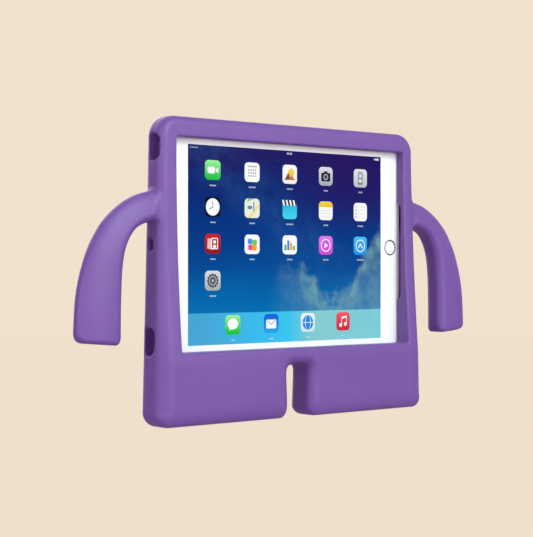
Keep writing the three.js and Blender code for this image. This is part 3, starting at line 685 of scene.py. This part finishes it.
def white_border():
    """White paint under polished glass. Its slight green tint is partly the border's own greyish white and
    partly painted light, which cancels the purple of the world and fill lamps.
    """
    n = Nodes("white_border")
    # Painted light: the green tint offsets the purple-tinted lamps so that the border renders as neutral
    # white.
    n.set(Base_Color=n.ramp(n.noise(40.0), (0.4, srgb(219, 232, 217)), (0.6, srgb(222, 234, 219))))
    n.set(Roughness=0.1, Specular_IOR_Level=0.3, Coat_Weight=0.15, Coat_Roughness=0.03)
    return n.material


def filled(outlines):
    """Points and faces that fill overlapping outlines, and for each face which outlines hold it."""
    inside_only, weld = 1, 1e-4
    points, loops = [], []
    for outline in outlines:
        loops.append(list(range(len(points), len(points) + len(outline))))
        points.extend(Vector(point) for point in outline)
    flat, _, faces, _, _, owners = delaunay_2d_cdt(points, [], loops, inside_only, weld)
    return flat, faces, owners


def glass_pane():
    """The pane with its picture: one flat front, cut along every outline, and a bevelled rim."""
    width, _, height = GLASS_HIGH - GLASS_LOW
    front, back = GLASS_LOW[1], GLASS_HIGH[1]
    inset = 2 * GLASS_BEVEL
    rim = rounded(0, 0, width, height, GLASS_CORNER, 14)
    face = rounded(0, 0, width - inset, height - inset, GLASS_CORNER - GLASS_BEVEL, 14)
    hole = disc(HOME_X, 0, HOME_HOLE, 64)
    dock = block(0, (DOCK_HEIGHT - SCREEN_SIZE[1]) / 2, SCREEN_SIZE[0], DOCK_HEIGHT)
    slots = {"border": 0, "sky": 1, "dock": 2}
    icon_slot = 3
    shapes = [(face, "border", None), (hole, None, None), (block(0, 0, *SCREEN_SIZE), "sky", None)]
    shapes += [(dock, "dock", None)] + home_screen()
    flat, faces, owners = filled([shape[0] for shape in shapes])
    kept = [(f, max(o)) for f, o in zip(faces, owners) if o and shapes[max(o)][1] is not None]
    vertices = [(v.x * MM, front * MM, (v.y + MIDDLE_Z) * MM) for v in flat]
    polygons = [f for f, _ in kept]
    materials = [slots.get(shapes[owner][1], icon_slot) for _, owner in kept]

    def ring(outline, y):
        first = len(vertices)
        vertices.extend((u * MM, y * MM, (v + MIDDLE_Z) * MM) for u, v in outline)
        return list(range(first, first + len(outline)))

    edge, side, foot = ring(face, front), ring(rim, front + GLASS_BEVEL), ring(rim, back)
    polygons += strip(side, edge) + strip(foot, side) + strip(ring(hole, front), ring(hole, back))
    rear, rear_faces, rear_owners = filled([rim, hole])
    first = ring(rear, back)[0]
    for f, owner in zip(rear_faces, rear_owners):
        if owner == [0]:
            polygons.append(tuple(first + k for k in reversed(f)))
    # Everything behind the flat front is border.
    materials += [slots["border"]] * (len(polygons) - len(materials))

    mesh = bpy.data.meshes.new("front_pane")
    mesh.from_pydata(vertices, [], polygons)
    pictures = [wallpaper("screen_wallpaper", 0.0), wallpaper("screen_dock", 0.75), pixels_material()]
    for material in [WHITE_GLASS] + pictures:
        mesh.materials.append(material)
    mesh.polygons.foreach_set("material_index", materials)
    tint = mesh.color_attributes.new("tint", "FLOAT_COLOR", "CORNER")
    for polygon, (_, owner) in zip(mesh.polygons, kept):
        outline, bottom, top = shapes[owner]
        if bottom in slots:
            continue
        heights = [v for _, v in outline]
        low, high = min(heights), max(heights)
        for corner in polygon.loop_indices:
            v = mesh.vertices[mesh.loops[corner].vertex_index].co.z / MM - MIDDLE_Z
            t = (v - low) / (high - low)
            tint.data[corner].color = srgb(*[mix(b, c, t) for b, c in zip(bottom, top)])
    mesh.validate()
    return mesh


# ---- Small solids ----
SHARP_ANGLE = math.radians(38)


class Solid:
    """Collects one piece's vertices and faces, in millimetres, with a material index for each face."""

    def __init__(self):
        self.vertices, self.faces, self.marks = [], [], []
        self.mark = 0

    def skin(self, rings, closed=False):
        """A skin through rings of points. It ends in caps, or joins its last ring to its first."""
        numbers = []
        for ring in rings:
            numbers.append(tuple(range(len(self.vertices), len(self.vertices) + len(ring))))
            self.vertices.extend(ring)
        for a, b in zip(numbers, numbers[1:]):
            self.faces += strip(a, b)
        self.faces += strip(numbers[-1], numbers[0]) if closed else [numbers[0], numbers[-1]]
        self.marks += [self.mark] * (len(self.faces) - len(self.marks))

    def slab(self, outline, start, end, edge, along="Y", steps=2):
        """An outline, given by how far it is drawn in, run from start to end with round edges."""
        order = {"X": (2, 0, 1), "Y": (0, 2, 1), "Z": (0, 1, 2)}[along]
        turns = [k / steps * math.pi / 2 for k in range(steps + 1)]
        curve = [(edge * (1 - math.sin(a)), edge * (1 - math.cos(a))) for a in turns]
        levels = [(drawn, start + w) for drawn, w in curve]
        levels += [(drawn, end - w) for drawn, w in reversed(curve)]
        self.skin([[tuple((u, v, w)[k] for k in order) for u, v in outline(drawn)] for drawn, w in levels])

    def block(self, low, high, edge, corner):
        """A box with round edges."""
        width, height = high[0] - low[0], high[2] - low[2]
        middle = ((low[0] + high[0]) / 2, (low[2] + high[2]) / 2)

        def outline(drawn):
            return rounded(*middle, width - 2 * drawn, height - 2 * drawn, max(corner - drawn, 0.03), 3)
        self.slab(outline, low[1], high[1], edge)

    def turned(self, x, z, profile, steps=48, closed=False):
        """A profile of (radius, y) turned about an axis along Y."""
        self.skin([[(u, y, v) for u, v in disc(x, z, radius, steps)] for radius, y in profile], closed)

    def mesh(self, name, *materials):
        made = bpy.data.meshes.new(name)
        made.from_pydata([(x * MM, y * MM, z * MM) for x, y, z in self.vertices], [], self.faces)
        made.polygons.foreach_set("material_index", self.marks)
        work = bmesh.new()
        work.from_mesh(made)
        bmesh.ops.recalc_face_normals(work, faces=work.faces)
        work.to_mesh(made)
        work.free()
        for material in materials:
            made.materials.append(material)
        made.shade_smooth()
        made.set_sharp_from_angle(angle=SHARP_ANGLE)
        return made

    def place(self, name, slot_name, materials, *replaced, body="tablet"):
        place_piece(name, self.mesh(name, *materials), body, slot_name, *replaced)


def carved(mesh, cutters):
    """The mesh with the cutters' shape taken out of it."""
    whole, tool = in_scene("carving", mesh), in_scene("carving", cutters)
    cut = whole.modifiers.new("cut", "BOOLEAN")
    cut.operation = "DIFFERENCE"
    cut.solver = "EXACT"
    cut.object = tool
    made = bpy.data.meshes.new_from_object(whole.evaluated_get(bpy.context.evaluated_depsgraph_get()))
    bpy.data.objects.remove(whole)
    bpy.data.objects.remove(tool)
    made.set_sharp_from_angle(angle=SHARP_ANGLE)
    return made


def place_piece(name, mesh, body, slot_name, *replaced):
    piece = in_scene(name, mesh)
    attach(piece, body)
    if replaced:
        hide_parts(*replaced)


# ---- Hard materials ----
def metal(name, colour, roughness, grain=700.0, stretch=(1, 1, 1)):
    """Metal with a fine grain, drawn out along an axis where it is brushed."""
    n = Nodes(name)
    spread = n.add("ShaderNodeMapping", vector_type="POINT", Vector=n.place(), Scale=stretch)
    fine = n.noise(grain, 3.0, 0.6, spread.outputs["Vector"])
    dark = srgb(*[c * 0.94 for c in colour])
    n.set(Roughness=n.ramp(fine, (0.3, grey(roughness - 0.06)), (0.7, grey(roughness + 0.06))))
    n.set(Base_Color=n.ramp(n.noise(18.0), (0.3, dark), (0.7, srgb(*colour))))
    n.set(Normal=n.bump(fine, 0.00002, 0.5), Metallic=1.0)
    return n.material


def plastic(name, colour, roughness):
    """Moulded plastic with a fine spark-eroded texture."""
    n = Nodes(name)
    fine = n.noise(1500.0)
    light = srgb(*[min(255, c * 1.06 + 2) for c in colour])
    n.set(Base_Color=n.ramp(n.noise(35.0), (0.35, srgb(*colour)), (0.65, light)))
    n.set(Roughness=n.ramp(fine, (0.3, grey(roughness - 0.05)), (0.7, grey(roughness + 0.05))))
    n.set(Normal=n.bump(fine, 0.00002, 0.6))
    return n.material


def circuit():
    """Green solder mask with tracks under it."""
    n = Nodes("circuit_board")
    turn = n.add("ShaderNodeMapping", vector_type="POINT", Vector=n.place(), Rotation=(math.pi / 2, 0, 0))
    tracks = n.add(
        "ShaderNodeTexBrick", Vector=turn.outputs["Vector"], Scale=420.0, Mortar_Size=0.03,
        Color1=srgb(26, 84, 54), Color2=srgb(30, 92, 60), Mortar=srgb(58, 128, 84),
    )
    n.set(Base_Color=tracks.outputs["Color"], Roughness=0.35)
    n.set(Normal=n.bump(tracks.outputs["Fac"], 0.00003, 0.4))
    return n.material


def pouch():
    """Laminated film, slightly crinkled."""
    n = Nodes("battery_pouch")
    crinkle = n.noise(120.0, 5.0, 0.6)
    n.set(Base_Color=n.ramp(crinkle, (0.35, srgb(40, 41, 46)), (0.65, srgb(52, 53, 58))))
    n.set(Normal=n.bump(crinkle, 0.00015, 0.6), Roughness=0.42, Metallic=0.35)
    return n.material


def lens_glass():
    """Dark coated glass."""
    n = Nodes("lens_glass")
    n.set(Base_Color=n.ramp(n.noise(60.0), (0.3, srgb(12, 9.6, 20.4)), (0.7, srgb(20, 16, 34))))
    n.set(Roughness=0.05, Coat_Weight=1.0, Coat_Roughness=0.02)
    return n.material


ALUMINIUM = metal("anodised_aluminium", (203, 205, 209), 0.4)
STEEL = metal("stamped_steel", (182, 184, 188), 0.34, 500.0, (1, 1, 0.06))
RING_METAL = metal("satin_ring", (136, 139, 143), 0.42, 900.0)
GOLD = metal("gold_contacts", (214, 176, 92), 0.28)
WHITE_PLASTIC = plastic("white_gasket", (236, 236, 236), 0.45)
BLACK_PLASTIC = plastic("black_moulding", (26, 27, 30), 0.5)
CHIP = plastic("chip_resin", (32, 33, 36), 0.6)
BOARD = circuit()
CELL = pouch()
LENS = lens_glass()
WHITE_GLASS = white_border()


place_piece("front_pane", glass_pane(), "tablet", "white_glass", "front_glass")


# ---- The tablet's other pieces ----
SHELL_WALL, SHELL_FLOOR, SHELL_EDGE, SHELL_CORNER = 2.4, 0.9, 3.8, 9.0
PORT_Y = GLASS_LOW[1] + 3.9
SPEAKER_SHIFT, SPEAKER_PITCH = 28.0, 2.6
VOLUME_UP_X, VOLUME_DOWN_X, SWITCH_X = -72.5, -60.5, -90.0
KEY_EDGE, FLANGE_CLEARANCE, FLANGE_DEPTH = 0.28, 0.15, 0.9
HAIR = 0.01


def stadium(u, v, length_u, length_v):
    """A slot's outline with round ends, about (u, v), given by how far it is drawn in."""
    def outline(drawn):
        width, height = length_u - 2 * drawn, length_v - 2 * drawn
        return rounded(u, v, width, height, min(width, height) / 2 - 0.001)
    return outline


def rear_shell():
    """The aluminium tray: a flat back, sides that curve into it, and holes for buttons and ports."""
    width, _, height = TABLET_HIGH - TABLET_LOW
    back, floor, rim = TABLET_HIGH[1], TABLET_HIGH[1] - SHELL_FLOOR, TABLET_LOW[1]

    def ring(drawn, y):
        corner = max(SHELL_CORNER - drawn, 1.0)
        outline = rounded(0, MIDDLE_Z, width - 2 * drawn, height - 2 * drawn, corner, 12)
        return [(u, y, v) for u, v in outline]
    wall = SHELL_WALL
    inner = [ring(wall + 0.8, floor), ring(wall + 0.24, floor - 0.24), ring(wall, floor - 0.8)]
    top = [ring(wall, rim + 0.1), ring(wall - 0.1, rim), ring(0.2, rim), ring(0, rim + 0.2)]
    turns = np.linspace(0, math.pi / 2, 11)
    curve = [ring(SHELL_EDGE * (1 - math.cos(a)), back - SHELL_EDGE * (1 - math.sin(a))) for a in turns]
    tray = Solid()
    tray.skin(inner + top + curve)

    # Slots and ports go through the tray's walls. The round ones are a hair longer than wide.
    holes = Solid()
    left, right = (LEFT - 1, LEFT + 4), (RIGHT - 4, RIGHT + 1)
    ports = [(left, SLEEP_Z, 2.6, 10.6), (left, JACK_Z, 4.4, 4.4 + HAIR), (left, MIDDLE_Z, 1.2, 1.2 + HAIR),
             (right, MIDDLE_Z, 2.7, 9)]
    ports += [(right, MIDDLE_Z + side * (SPEAKER_SHIFT + SPEAKER_PITCH * k), 1.6, 1.6 + HAIR)
              for side in (-1, 1) for k in range(-3, 4)]
    for reach, z, depth, size in ports:
        holes.slab(stadium(PORT_Y, z, depth, size), *reach, HAIR, "X")
    for x, size in ((VOLUME_UP_X, 10.6), (VOLUME_DOWN_X, 10.6), (SWITCH_X, 6.4)):
        holes.slab(stadium(x, PORT_Y, size, 2.6), TOP - 4, TOP + 1, HAIR, "Z")
    camera_x, _, camera_z = middle_of("rear_camera_ring")
    holes.turned(camera_x, camera_z, [(4.4, floor - 1), (4.4, back + 1)])
    shell = carved(tray.mesh("rear_shell_tray", ALUMINIUM), holes.mesh("shell_holes"))
    place_piece("rear_shell_tray", shell, "tablet", "aluminium", "rear_shell")

    bosses = Solid()
    boss = [(0.9, floor - 0.02), (2.2, floor - 0.02), (2.2, floor - 0.8), (2.05, floor - 0.95),
            (1.0, floor - 0.95), (0.9, floor - 0.85)]
    for k in range(4):
        x, _, z = middle_of(f"board_screw_{k + 1}")
        bosses.turned(x, z, boss, 32, closed=True)
    bosses.place("rear_shell_bosses", "aluminium", [ALUMINIUM])


def home_button():
    """A metal ring in the pane's hole, and in it a cap that is dished for a fingertip."""
    front, back = depth_of("home_button_ring")
    ring = Solid()
    ring.turned(HOME_X, MIDDLE_Z, [
        (5.51, back), (5.51, front + 0.16), (5.62, front + 0.04), (5.8, front), (6.12, front),
        (6.32, front + 0.04), (6.39, front + 0.16), (6.39, back)], 72, closed=True)
    ring.place("home_ring", "ring_metal", [RING_METAL], "home_button_ring")
    rim, _ = depth_of("home_button_cap")
    dish = [(r, rim + 0.41 * (1 - (r / 5.0) ** 2)) for r in (0.01, 1.2, 2.4, 3.4, 4.2, 4.8)]
    side = [(5.1, rim), (5.26, rim + 0.03), (5.34, rim + 0.14), (5.34, rim + 1.16)]
    stem = [(1.6, rim + 1.16), (1.6, rim + 1.7), (0.01, rim + 1.74)]
    cap = Solid()
    cap.turned(HOME_X, MIDDLE_Z, dish + side + stem, 72)
    cap.place("home_cap", "white_glass", [WHITE_GLASS], "home_button_cap", body="home_button")


def key(name, node, body, along):
    """A key with a round-edged cap through the wall, and a flange behind it."""
    low, high = box_mm(node)
    solid = Solid()
    flange_high, flange_low = high.copy(), low.copy()
    if along == "X":
        wall = LEFT + SHELL_WALL
        flange_low[0], flange_high[0] = wall + FLANGE_CLEARANCE, wall + FLANGE_DEPTH
        solid.slab(stadium(PORT_Y, SLEEP_Z, 2, 10), low[0], flange_high[0] - 0.5, KEY_EDGE, "X", 4)
    else:
        wall = TOP - SHELL_WALL
        flange_low[2], flange_high[2] = wall - FLANGE_DEPTH, wall - FLANGE_CLEARANCE
        width = 10 if high[0] - low[0] > 10 else 4
        cap = stadium((low[0] + high[0]) / 2, PORT_Y, width, 2)
        solid.slab(cap, flange_low[2] + 0.5, high[2], KEY_EDGE, "Z", 4)
    solid.block(flange_low, flange_high, 0.12, 0.3)
    solid.place(name, "aluminium", [ALUMINIUM], node, body=body)


def turned_piece(name, slot_name, material, node, profile, steps, closed=False):
    """A piece turned about the middle of the node that it replaces."""
    solid = Solid()
    x, _, z = middle_of(node)
    solid.turned(x, z, profile, steps, closed)
    solid.place(name, slot_name, [material], node)


def cameras():
    """The rear camera's ring, lens and housing, and the small barrel of the front camera."""
    front, back = depth_of("rear_camera_ring")
    turned_piece("camera_ring", "ring_metal", RING_METAL, "rear_camera_ring", [
        (3.31, front), (3.31, back - 0.1), (3.4, back), (4.1, back), (4.29, back - 0.18),
        (4.29, front)], 64, True)
    front, back = depth_of("rear_camera_lens")
    turned_piece("camera_lens", "dark_glass", LENS, "rear_camera_lens", [
        (0.01, front), (3.18, front), (3.18, back - 0.04), (3.12, back), (2.0, back), (1.9, back - 0.25),
        (1.3, back - 0.3), (1.2, back - 0.16), (0.01, back - 0.02)], 64)
    front, back = depth_of("front_camera")
    turned_piece("front_camera_barrel", "dark_glass", LENS, "front_camera", [
        (0.01, front + 0.2), (0.8, front + 0.25), (0.9, front + 0.02), (2.1, front + 0.02),
        (2.18, front + 0.1), (2.18, back - 0.1), (2.05, back), (0.01, back)], 48)
    low, high = box_mm("rear_camera_module")
    x, _, z = (low + high) / 2
    front, back = high[1] - 1.7, high[1]
    module = Solid()
    module.block(low, high - np.array([0, 1.6, 0]), 0.15, 0.5)
    module.turned(x, z, [(0.01, front), (3.9, front), (3.9, back - 0.2), (3.7, back), (0.01, back)])
    module.place("camera_module", "black_plastic", [BLACK_PLASTIC], "rear_camera_module")


def battery_cells():
    """Two flat pouches with soft edges, each with a folded seal along its sides."""
    for side in ("left", "right"):
        low, high = box_mm(f"battery_cell_{side}")
        middle, size = (low + high) / 2, high - low
        cell = Solid()

        def outline(drawn):
            return rounded(middle[0], middle[2], size[0] - 3 - 2 * drawn, size[2] - 8 - 2 * drawn, 2.5, 5)
        cell.slab(outline, low[1], high[1], 0.9, steps=5)
        seal = np.array([0.1, 1.25, 0.1])
        cell.block(low + seal, high - seal, 0.08, 1.2)
        cell.mark = 1
        y = middle[1]
        for x in (middle[0] - 6, middle[0] + 6):
            cell.block((x - 2, y - 0.35, high[2] - 5), (x + 2, y + 0.35, high[2] - 0.3), 0.05, 0.1)
        cell.place(f"battery_pouch_{side}", "cell", [CELL, STEEL], f"battery_cell_{side}")


def board_parts():
    """What stands on the logic board: chips and capacitors, cans with stamped lids, and screws."""
    front, _ = depth_of("logic_board")
    chips = Solid()
    places = [(82, 91, 66, 74), (82.5, 88, 76.5, 81.5), (88.5, 98, 156, 167), (75, 85, 186.5, 193.5),
              (88, 96, 187, 192.5)]
    for left, right, low, high in places:
        chips.block((left, front - 0.95, low), (right, front - 0.03, high), 0.08, 0.25)
    chips.mark = 1
    for k in range(11):
        for x in (74.2, 97.8):
            z = 86 + 6 * k
            chips.block((x - 0.5, front - 0.5, z - 0.9), (x + 0.5, front - 0.03, z + 0.9), 0.06, 0.1)
    chips.place("board_chips", "black_plastic", [CHIP, GOLD])
    for node, name in (("board_shield", "shield_can"), ("wireless_module", "radio_can")):
        low, high = box_mm(node)
        can = Solid()
        can.block(low + np.array([0, 0.18, 0]), high, 0.12, 0.6)
        lid_high = (high[0] - 0.9, low[1] + 0.3, high[2] - 0.9)
        can.block((low[0] + 0.9, low[1], low[2] + 0.9), lid_high, 0.09, 0.5)
        can.place(name, "steel", [STEEL], node)
    low, high = box_mm("battery_connector")
    plug = Solid()
    plug.block(low, high, 0.12, 0.4)
    plug.mark = 1
    for k in range(7):
        x = low[0] + 1.5 + 1.5 * k
        plug.block((x - 0.3, low[1] + 0.5, low[2] - 0.5), (x + 0.3, high[1], low[2] + 0.3), 0.05, 0.1)
    plug.place("battery_plug", "black_plastic", [BLACK_PLASTIC, GOLD], "battery_connector")
    for k in range(4):
        node = f"board_screw_{k + 1}"
        head, tip = depth_of(node)
        turned_piece(f"screw_{k + 1}", "steel", STEEL, node, [
            (0.01, head + 0.3), (0.75, head + 0.22), (0.8, head), (1.45, head), (1.69, head + 0.2),
            (1.69, head + 0.69), (0.74, head + 0.7), (0.74, tip - 0.3), (0.3, tip), (0.01, tip)], 32)


def plain_parts():
    """Nodes whose CAD shape is right: fine edges and a material."""
    finishes = [
        (STEEL, "display_panel", "home_button_switch", "home_button_bracket", "microphone",
         "dock_connector"),
        (BLACK_PLASTIC, "sleep_switch", "headphone_jack", "speaker_upper", "speaker_lower"),
        (BOARD, "volume_switch_board", "logic_board"),
        (WHITE_PLASTIC, "glass_trim"),
    ]
    for material, *names in finishes:
        for name in names:
            thing = nodes[name]
            thing.data.materials.clear()
            thing.data.materials.append(material)
            bevel = thing.modifiers.new("edges", "BEVEL")
            bevel.width = 0.08 * MM
            bevel.segments = 2
            bevel.limit_method = "ANGLE"


rear_shell()
home_button()
key("sleep_key", "sleep_button", "sleep_key", "X")
key("volume_up_key", "volume_up_button", "volume_up_key", "Z")
key("volume_down_key", "volume_down_button", "volume_down_key", "Z")
key("mute_slider_key", "side_switch_slider", "mute_slider", "Z")
cameras()
battery_cells()
board_parts()
plain_parts()


# ---- Camera, light and floor ----
def aim(thing, target):
    thing.rotation_mode = "QUATERNION"
    thing.rotation_quaternion = (Vector(target) - thing.location).to_track_quat("-Z", "Y")


camera = in_scene("camera", bpy.data.cameras.new("camera"))
camera.data.sensor_width = 36
camera.data.lens = 96.13
camera.location = (-0.7283, -0.8365, 0.114)
aim(camera, camera.location + Vector((0.6434, 0.7655, 0.0)))
scene.camera = camera


def softbox(name, place, target, size, power, colour=(1, 1, 1)):
    light = bpy.data.lights.new(name, "AREA")
    light.shape = "DISK"
    light.size = size
    light.energy = power
    light.color = colour
    lamp = in_scene(name, light)
    lamp.location = place
    aim(lamp, target)


softbox("key", (0.4, -2.0, 0.3), (0, 0, 0.08), 1.6, 31)
softbox("top", (0.1, -1.6, 1.25), (-0.1, 0, 0.13), 0.7, 24, (0.88, 1.0, 1.0))
softbox("side", (-1.6, -0.35, 0.15), (0, 0, 0.13), 1.0, 12, (1.0, 0.88, 1.0))
softbox("fill", (-1.4, -1.4, 0.1), (0, 0, 0.08), 1.0, 14, (1.0, 0.66, 0.97))
softbox("back", (0.3, 1.7, 0.9), (0, 0, 0.13), 2.4, 30)

world = bpy.data.worlds.new("studio")
world.use_nodes = True
background = world.node_tree.nodes["Background"].inputs
background["Color"].default_value = srgb(250, 218, 255)
background["Strength"].default_value = 0.5
scene.world = world
scene.view_settings.view_transform = "Standard"


def studio_sweep():
    """A round floor that curves up into a wall all the way round, in metres."""
    floor_radius, bend, wall_top, turns = 1.4, 1.2, 2.6, 72
    profile = [(floor_radius, 0.0)]
    for a in np.linspace(0, math.pi / 2, 14)[1:]:
        profile.append((floor_radius + bend * math.sin(a), bend * (1 - math.cos(a))))
    profile.append((floor_radius + bend, wall_top))
    vertices = [(u, v, height) for radius, height in profile for u, v in disc(0, 0, radius, turns)]
    rings = [tuple(range(start, start + turns)) for start in range(0, len(vertices), turns)]
    polygons = [rings[0]]
    for a, b in zip(rings, rings[1:]):
        polygons += strip(a, b)
    mesh = bpy.data.meshes.new("studio_sweep")
    mesh.from_pydata(vertices, [], polygons)
    mesh.shade_smooth()
    return mesh


sweep = in_scene("studio_sweep", studio_sweep())
paint = Nodes("studio_paint")
paint.set(Base_Color=srgb(24, 23, 21), Roughness=1.0, Specular_IOR_Level=0.0)
paint.set(Emission_Color=srgb(241, 226, 206), Emission_Strength=0.985)
sweep.visible_diffuse = False
sweep.visible_glossy = False
sweep.data.materials.append(paint.material)
